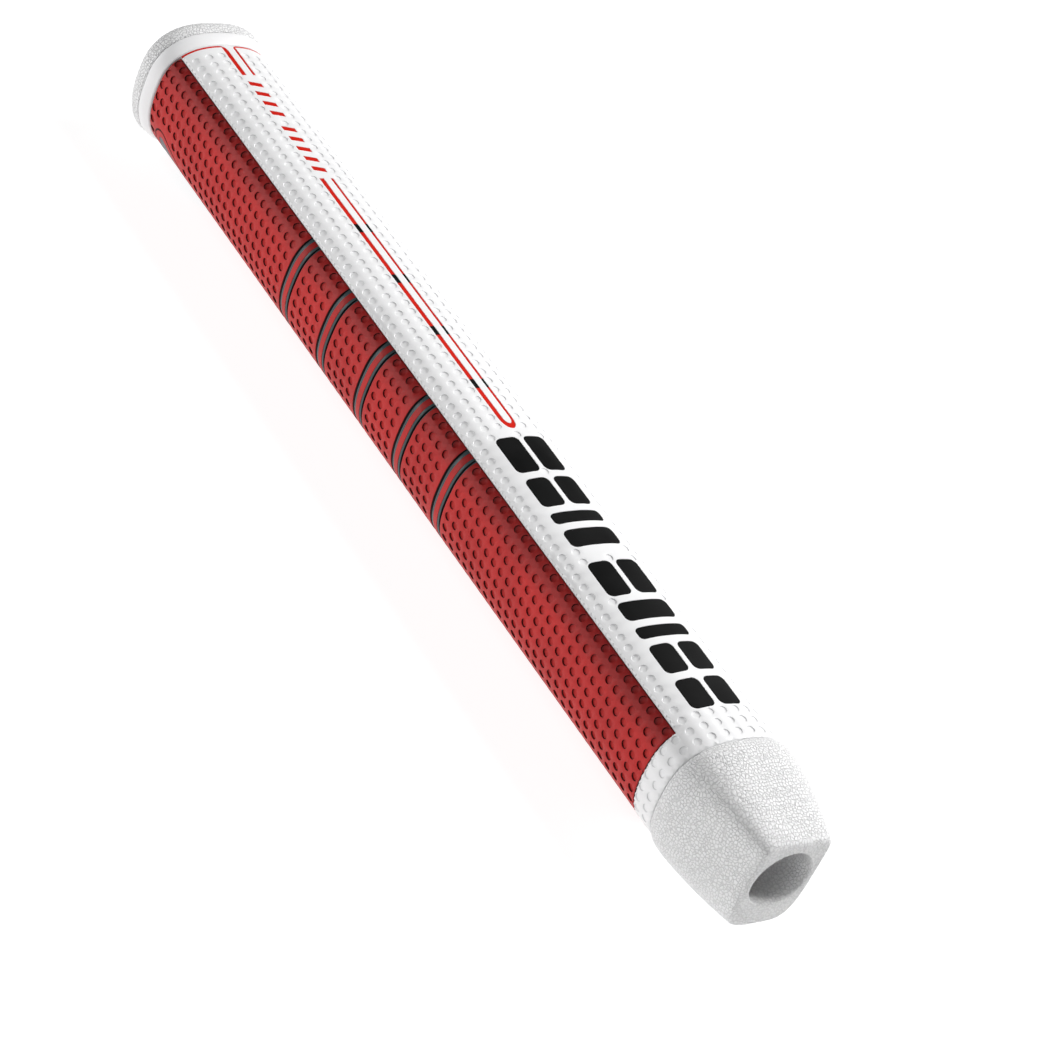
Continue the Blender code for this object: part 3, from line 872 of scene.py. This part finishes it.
def make_front_fills(red, black):
    for node, outline in FRONT_MARKS.items():
        name = node.replace("front_", "").replace("sight_", "centre_") + "_paint"
        if node.startswith("front_block"):
            make_fill(name, outline, black, "ink_black", node, FILL_TOP, FILL_BOTTOM)
        else:
            top = LINE_TOP if node == "sight_line" else FILL_TOP
            make_fill(name, outline, red, "ink_red", node, top, FILL_BOTTOM)
    for side, (low, high) in (("wide", WIDE_LINE), ("narrow", NARROW_LINE)):
        for index in range(BAND_COUNT - 1):
            start = FIRST_BAND + BAND_PITCH * index
            outline = box_outline(start, start + DARK_STEP, low, high)
            name = f"step_{side}_{index + 1}"
            make_fill(
                f"{name}_paint", outline, black, "ink_black", f"sight_{name}", STEP_TOP, STEP_BOTTOM
            )


def make_badge(look):
    make_fill("badge_paint", BADGE, look, "badge_grey", "back_badge", FILL_TOP, FILL_BOTTOM, wrap_level)


# ---------------------------------------------------------------- bell, collar and cap

def pebble(points, size, height):
    """Heights of a pebbled grain: rounded cells with creases between them."""
    stretch = np.array((PEBBLE_STRETCH, 1.0, 1.0)) / size
    found = np.empty(len(points))
    for i, spot in enumerate(points * stretch):
        near = noise.voronoi(Vector(spot))[0]
        found[i] = near[1] - near[0]
    return height * (np.clip(found / PEBBLE_SLOPE, 0.0, 1.0) ** PEBBLE_POWER - PEBBLE_MIDDLE)


def rings_to_piece(name, rings, look, slot, node):
    """Closed piece through loops of points, the last joined to the first."""
    count, sides = len(rings), len(rings[0])
    vertices = np.concatenate(rings)
    faces = [
        (r * sides + k, r * sides + (k + 1) % sides,
         (r + 1) % count * sides + (k + 1) % sides, (r + 1) % count * sides + k)
        for r in range(count)
        for k in range(sides)
    ]
    add_piece(name, vertices, faces, look, slot, node)


def circle_ring(x, radius, angles):
    return np.column_stack((np.full(len(angles), x), radius * np.sin(angles), radius * np.cos(angles)))


def section_ring(x, y, z):
    return np.column_stack((np.full(len(y), x), y, z))


def bell_ring(x, inset, angles):
    """One loop of the bell, which swells a little from the body and tapers to the mouth."""
    share = min(max((x + BELL_LENGTH) / BELL_LENGTH, 0.0), 1.0)
    swell = BELL_SWELL * (1 - math.exp(-share / SWELL_RISE)) * (1 - share)
    taper = share**FRONT_TAPER
    y, z = section(
        angles,
        blend(HALF_WIDTH, MOUTH_HALF_WIDTH, taper),
        blend(FRONT_RISE, MOUTH_FRONT - MOUTH_LEVEL, taper),
        blend(BACK_DROP, MOUTH_BACK + MOUTH_LEVEL, share**BACK_TAPER),
        blend(WIDEST_LEVEL, MOUTH_LEVEL, taper),
        blend(SECTION_POWER, MOUTH_POWER_FRONT, taper),
        blend(SECTION_POWER, MOUTH_POWER_BACK, taper),
        swell - inset,
    )
    return section_ring(x, y, z)


def across(outer, inner, step):
    """Loops from an outer loop to an inner one."""
    count = max(2, round(np.linalg.norm(outer - inner, axis=1).mean() / step))
    return [blend(outer, inner, k / count) for k in range(1, count)]


def grain(rings, size, height):
    """Push each point of the loops out along the surface's normal by the pebbled grain."""
    grid = np.array(rings)
    along = np.gradient(grid, axis=0)
    around = np.roll(grid, -1, axis=1) - np.roll(grid, 1, axis=1)
    normal = np.cross(along, around)
    normal /= np.maximum(np.linalg.norm(normal, axis=2, keepdims=True), 1e-12)
    centre = np.array((grid[..., 0].mean(), 0.0, WIDEST_LEVEL))
    if ((grid - centre) * normal).sum() < 0:
        normal = -normal
    heights = pebble(grid.reshape(-1, 3), size, height).reshape(grid.shape[:2])
    fade = np.clip(np.arange(len(rings)) / 3, 0.0, 1.0)
    return list(grid + normal * (heights * fade[:, None])[..., None])


def make_bell(look):
    angles = np.linspace(0, 2 * math.pi, BELL_SIDES, endpoint=False)
    straight = BELL_LENGTH - MOUTH_EDGE
    shares = np.linspace(0, 1, round(straight / BELL_ROW))
    rings = [bell_ring(-BELL_LENGTH + straight * share, 0.0, angles) for share in shares]
    for angle in np.linspace(0, math.pi / 2, MOUTH_EDGE_ROWS)[1:]:
        inset = MOUTH_EDGE * (1 - math.cos(angle))
        rings.append(bell_ring(-MOUTH_EDGE * (1 - math.sin(angle)), inset, angles))
    rim = circle_ring(0.0, BORE_RADIUS + BORE_LIP, angles)
    rings += across(rings[-1], rim, BELL_ROW) + [rim]
    rings = grain(rings, PEBBLE, PEBBLE_HEIGHT)
    rings.append(circle_ring(-BORE_LIP, BORE_RADIUS, angles))
    rings.append(circle_ring(-BELL_LENGTH, BORE_RADIUS, angles))
    rings_to_piece("bell_skin", rings, look, "bell_white", "mouth_bell")


def make_cap(look):
    angles = np.linspace(0, 2 * math.pi, CAP_SIDES, endpoint=False)
    edge_x = CAP_FACE + CAP_EDGE
    rings = [section_ring(CAP_JOINT, *body_section(angles, BUTT_FLARE - COLLAR_ROLL))]
    side = np.linspace(CAP_JOINT - COLLAR_ROLL, edge_x, max(2, round((CAP_JOINT - edge_x) / CAP_ROW)))
    for x in side:
        share = (CAP_JOINT - x) / (CAP_JOINT - edge_x)
        rings.append(section_ring(x, *body_section(angles, BUTT_FLARE + CAP_SWELL * share)))
    for angle in np.linspace(0, math.pi / 2, CAP_EDGE_ROWS)[1:]:
        offset = BUTT_FLARE + CAP_SWELL - CAP_EDGE * (1 - math.cos(angle))
        rings.append(section_ring(CAP_FACE + CAP_EDGE * (1 - math.sin(angle)), *body_section(angles, offset)))
    rim = circle_ring(CAP_FACE, VENT_RADIUS + VENT_LIP, angles)
    rings += across(rings[-1], rim, 1.6 * CAP_ROW) + [rim]
    rings = grain(rings, PEBBLE, PEBBLE_HEIGHT)
    rings.append(circle_ring(CAP_FACE + VENT_LIP, VENT_RADIUS, angles))
    rings.append(circle_ring(PLUG_END, VENT_RADIUS, angles))
    rings.append(circle_ring(PLUG_END, PLUG_RADIUS, angles))
    rings.append(circle_ring(CAP_JOINT, PLUG_RADIUS, angles))
    rings_to_piece("cap_skin", rings, look, "cap_white", "end_cap")


def make_collar(look):
    angles = np.linspace(0, 2 * math.pi, COLLAR_SIDES, endpoint=False)
    length = COLLAR_END - COLLAR_START
    rings = [circle_ring(COLLAR_END, BORE_RADIUS, angles)]
    for k in range(COLLAR_ROWS + 1):
        share = k / COLLAR_ROWS
        flare = BUTT_FLARE * math.sin(math.pi / 2 * share)
        ends = float(rolled(np.array([min(share, 1 - share) * length]), COLLAR_ROLL)[0])
        rings.append(section_ring(COLLAR_END - length * share, *body_section(angles, flare + ends)))
    rings.append(circle_ring(COLLAR_START, BORE_RADIUS, angles))
    rings_to_piece("collar_skin", rings, look, "collar_white", "butt_collar")


# ---------------------------------------------------------------- materials

def connect(tree, source, output, target, socket):
    tree.links.new(source.outputs[output], target.inputs[socket])


def noise_node(tree, place, scale, detail, rough):
    node = tree.nodes.new("ShaderNodeTexNoise")
    node.inputs["Scale"].default_value = scale
    node.inputs["Detail"].default_value = detail
    node.inputs["Roughness"].default_value = rough
    connect(tree, place, "Object", node, "Vector")
    return node


def cloudy_node(tree, cloud, dark, light):
    """Colour that drifts between two tones with the cloud noise."""
    node = tree.nodes.new("ShaderNodeValToRGB")
    for element, position, tone in zip(node.color_ramp.elements, CLOUD_STOPS, (dark, light)):
        element.position = position
        element.color = (*tone, 1.0)
    connect(tree, cloud, "Fac", node, "Fac")
    return node


def mix_node(tree, share, output, first, second):
    """The first colour where the share is 0 and the second where it is 1."""
    node = tree.nodes.new("ShaderNodeMixRGB")
    connect(tree, share, output, node, "Fac")
    connect(tree, first, "Color", node, "Color1")
    connect(tree, second, "Color", node, "Color2")
    return node


def bump_node(tree, source, output, height):
    node = tree.nodes.new("ShaderNodeBump")
    node.inputs["Strength"].default_value = 1.0
    node.inputs["Distance"].default_value = height
    connect(tree, source, output, node, "Height")
    return node


def gloss_node(tree, place, roughness, grain_size):
    """Roughness that varies a little from spot to spot."""
    speckle = noise_node(tree, place, SPECKLES_PER_GRAIN / grain_size, 3.0, 0.6)
    node = tree.nodes.new("ShaderNodeMapRange")
    node.inputs["From Min"].default_value = GLOSS_STOPS[0]
    node.inputs["From Max"].default_value = GLOSS_STOPS[1]
    node.inputs["To Min"].default_value = roughness - GLOSS_SPREAD
    node.inputs["To Max"].default_value = roughness + GLOSS_SPREAD
    connect(tree, speckle, "Fac", node, "Value")
    return node


def crease_node(tree, place):
    """1 on the cells of the pebbled grain, falling to 0 in the creases between them."""
    cells = tree.nodes.new("ShaderNodeTexVoronoi")
    cells.feature = "DISTANCE_TO_EDGE"
    cells.inputs["Scale"].default_value = 1.0 / CELL_SIZE
    cells.inputs["Randomness"].default_value = CELL_RANDOMNESS
    connect(tree, place, "Object", cells, "Vector")
    node = tree.nodes.new("ShaderNodeMapRange")
    node.interpolation_type = "SMOOTHSTEP"
    node.inputs["From Max"].default_value = CREASE_WIDTH
    connect(tree, cells, "Distance", node, "Value")
    return node


def scaled(tone, share):
    return tuple(share * part for part in tone)


def rubber(name, dark, light, roughness, grain, wall=None, specular=0.3, pebbled=False):
    """Moulded rubber or paint: cloudy colour, uneven gloss and a fine grain, given as (size, height) in mm.

    Faces marked as walls take the wall tone, a painted shade, and pebbled rubber has creases as painted shade
    in its colour and as dips in its bump.
    """
    look = bpy.data.materials.new(name)
    look.use_nodes = True
    tree = look.node_tree
    shader = tree.nodes["Principled BSDF"]
    shader.inputs["Specular IOR Level"].default_value = specular
    grain_size, grain_height = grain[0] * MM, grain[1] * MM
    place = tree.nodes.new("ShaderNodeTexCoord")
    cloud = noise_node(tree, place, CLOUD_SCALE, 4.0, 0.6)
    colour = cloudy_node(tree, cloud, dark, light)
    fine = noise_node(tree, place, 1.0 / grain_size, 2.0, 0.55)
    bump = bump_node(tree, fine, "Fac", grain_height)
    if wall:
        # Painted shade: faces marked as walls, and the wrap towards its seam, take the darker wall tone.
        mark = tree.nodes.new("ShaderNodeAttribute")
        mark.attribute_name = "wall"
        pocket_shade = cloudy_node(tree, cloud, wall, scaled(wall, POCKET_SHADE_SPREAD))
        colour = mix_node(tree, mark, "Fac", colour, pocket_shade)
    if pebbled:
        # Painted shade in the creases of the grain; the same creases dip in the bump.
        crease = crease_node(tree, place)
        shadow = cloudy_node(tree, cloud, scaled(dark, CREASE_SHADE), scaled(light, CREASE_SHADE))
        colour = mix_node(tree, crease, "Result", shadow, colour)
        connect(tree, bump_node(tree, crease, "Result", CELL_HEIGHT), "Normal", bump, "Normal")
    connect(tree, colour, "Color", shader, "Base Color")
    connect(tree, gloss_node(tree, place, roughness, grain_size), "Result", shader, "Roughness")
    connect(tree, bump, "Normal", shader, "Normal")
    return look


def make_looks():
    pale, light, lightest = (0.87, 0.87, 0.875), (0.91, 0.91, 0.915), (0.95, 0.95, 0.95)
    return {
        # White rubber: its wall tone is a painted shade in the pockets.
        "white": rubber("white_rubber", pale, light, 0.42, (0.25, 0.006), wall=(0.70, 0.70, 0.71)),
        # Red rubber: its wall tone is a painted shade in the pockets and grooves, and along the seam.
        "red": rubber(
            "red_rubber", (0.45, 0.009, 0.008), (0.53, 0.013, 0.011), 0.52, (0.22, 0.016),
            wall=(0.045, 0.001, 0.001),
        ),
        # Pebbled rubber with painted shade in the creases of its grain.
        "pebbled": rubber("pebbled_rubber", light, lightest, 0.55, (0.16, 0.008), pebbled=True),
        "collar": rubber("collar_rubber", pale, light, 0.36, (0.30, 0.004)),
        "core": rubber("core_foam", (0.035, 0.035, 0.04), (0.06, 0.06, 0.065), 0.80, (0.30, 0.03)),
        "ink_red": rubber("red_paint", (0.60, 0.012, 0.006), (0.68, 0.02, 0.01), 0.36, (0.25, 0.004)),
        "ink_black": rubber(
            "black_paint", (0.004, 0.004, 0.004), (0.009, 0.009, 0.009), 0.45, (0.2, 0.008), specular=0.15
        ),
        # Ring paint: black paint tinted teal-grey as a painted sheen, with its channel walls near black as
        # painted shade.
        "ring": rubber(
            "ring_paint", (0.030, 0.050, 0.056), (0.052, 0.075, 0.082), 0.34, (0.25, 0.005),
            wall=(0.004, 0.004, 0.004),
        ),
        "badge": rubber("badge_paint", (0.08, 0.085, 0.095), (0.12, 0.12, 0.135), 0.42, (0.25, 0.006)),
    }


# ---------------------------------------------------------------- studio

def stage_piece(name, corners, faces, base, emission):
    """Part of the pale studio that isn't part of the grip, standing at the level of its lowest point."""
    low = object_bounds()[0]
    mesh = bpy.data.meshes.new(name)
    mesh.from_pydata(corners, [], faces)
    look = bpy.data.materials.new(name)
    look.use_nodes = True
    shader = look.node_tree.nodes["Principled BSDF"]
    shader.inputs["Base Color"].default_value = (base, base, base, 1.0)
    shader.inputs["Roughness"].default_value = 0.9
    shader.inputs["Specular IOR Level"].default_value = 0.1
    shader.inputs["Emission Color"].default_value = (1.0, 1.0, 1.0, 1.0)
    shader.inputs["Emission Strength"].default_value = emission
    mesh.materials.append(look)
    item = bpy.data.objects.new(name, mesh)
    item.location = (cad_bounds[0][0] / 2, 0.0, low[2])
    bpy.context.scene.collection.objects.link(item)
    item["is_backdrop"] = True
    return item


def make_floor():
    """Round floor, with a far round wall that closes low views and takes no part in the lighting."""
    turns = [2 * math.pi * k / STUDIO_SIDES for k in range(STUDIO_SIDES)]
    rim = [(STUDIO_RADIUS * math.cos(turn), STUDIO_RADIUS * math.sin(turn)) for turn in turns]
    disc = [tuple(range(STUDIO_SIDES))]
    stage_piece("studio_floor", [(x, y, 0.0) for x, y in rim], disc, FLOOR_TONE, FLOOR_GLOW)
    corners = [(x, y, z) for z in (0.0, STUDIO_HEIGHT) for x, y in rim]
    faces = [
        (k, (k + 1) % STUDIO_SIDES, (k + 1) % STUDIO_SIDES + STUDIO_SIDES, k + STUDIO_SIDES)
        for k in range(STUDIO_SIDES)
    ]
    wall = stage_piece("studio_wall", corners, faces, 0.0, WALL_GLOW)
    wall.visible_diffuse = False
    wall.visible_glossy = False
    wall.visible_transmission = False
    wall.visible_shadow = False


def make_softbox(name, direction, distance, width, height, power):
    """Area light that faces the middle of the grip."""
    light = bpy.data.lights.new(name, "AREA")
    light.shape = "RECTANGLE"
    light.size = width
    light.size_y = height
    light.energy = power
    item = bpy.data.objects.new(name, light)
    towards = Vector(direction).normalized()
    item.location = Vector(VIEW_AIM) + towards * distance
    item.rotation_euler = towards.to_track_quat("Z", "Y").to_euler()
    bpy.context.scene.collection.objects.link(item)


def make_world():
    world = bpy.data.worlds.new("studio")
    world.use_nodes = True
    background = world.node_tree.nodes["Background"]
    background.inputs["Color"].default_value = (1.0, 1.0, 1.0, 1.0)
    background.inputs["Strength"].default_value = WORLD_GLOW
    bpy.context.scene.world = world


def make_camera():
    lens = bpy.data.cameras.new("camera")
    lens.lens = LENS
    lens.sensor_width = SENSOR
    lens.clip_start = 0.01
    camera = bpy.data.objects.new("camera", lens)
    away = Vector((
        math.sin(VIEW_AZIMUTH) * math.cos(VIEW_ELEVATION),
        -math.cos(VIEW_AZIMUTH) * math.cos(VIEW_ELEVATION),
        math.sin(VIEW_ELEVATION),
    ))
    level = Vector((math.cos(VIEW_AZIMUTH), math.sin(VIEW_AZIMUTH), 0.0))
    upright = away.cross(level)
    right = level * math.cos(VIEW_ROLL) + upright * math.sin(VIEW_ROLL)
    up = away.cross(right)
    turn = Matrix((right, up, away)).transposed().to_4x4()
    camera.matrix_world = Matrix.Translation(Vector(VIEW_AIM) + away * VIEW_DISTANCE) @ turn
    bpy.context.scene.collection.objects.link(camera)
    bpy.context.scene.camera = camera


def main():
    looks = make_looks()
    make_front_shell(looks["white"])
    make_side_wrap(looks["red"])
    make_ring_fills(looks["ring"])
    make_badge(looks["badge"])
    make_front_fills(looks["ink_red"], looks["ink_black"])
    make_bell(looks["pebbled"])
    make_collar(looks["collar"])
    make_cap(looks["pebbled"])
    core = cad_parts["core_sleeve"]
    for slot in core.material_slots:
        slot.material = looks["core"]
    make_floor()
    for softbox in SOFTBOXES:
        make_softbox(*softbox)
    make_world()
    make_camera()
    bpy.context.scene.view_settings.view_transform = "Standard"


main()
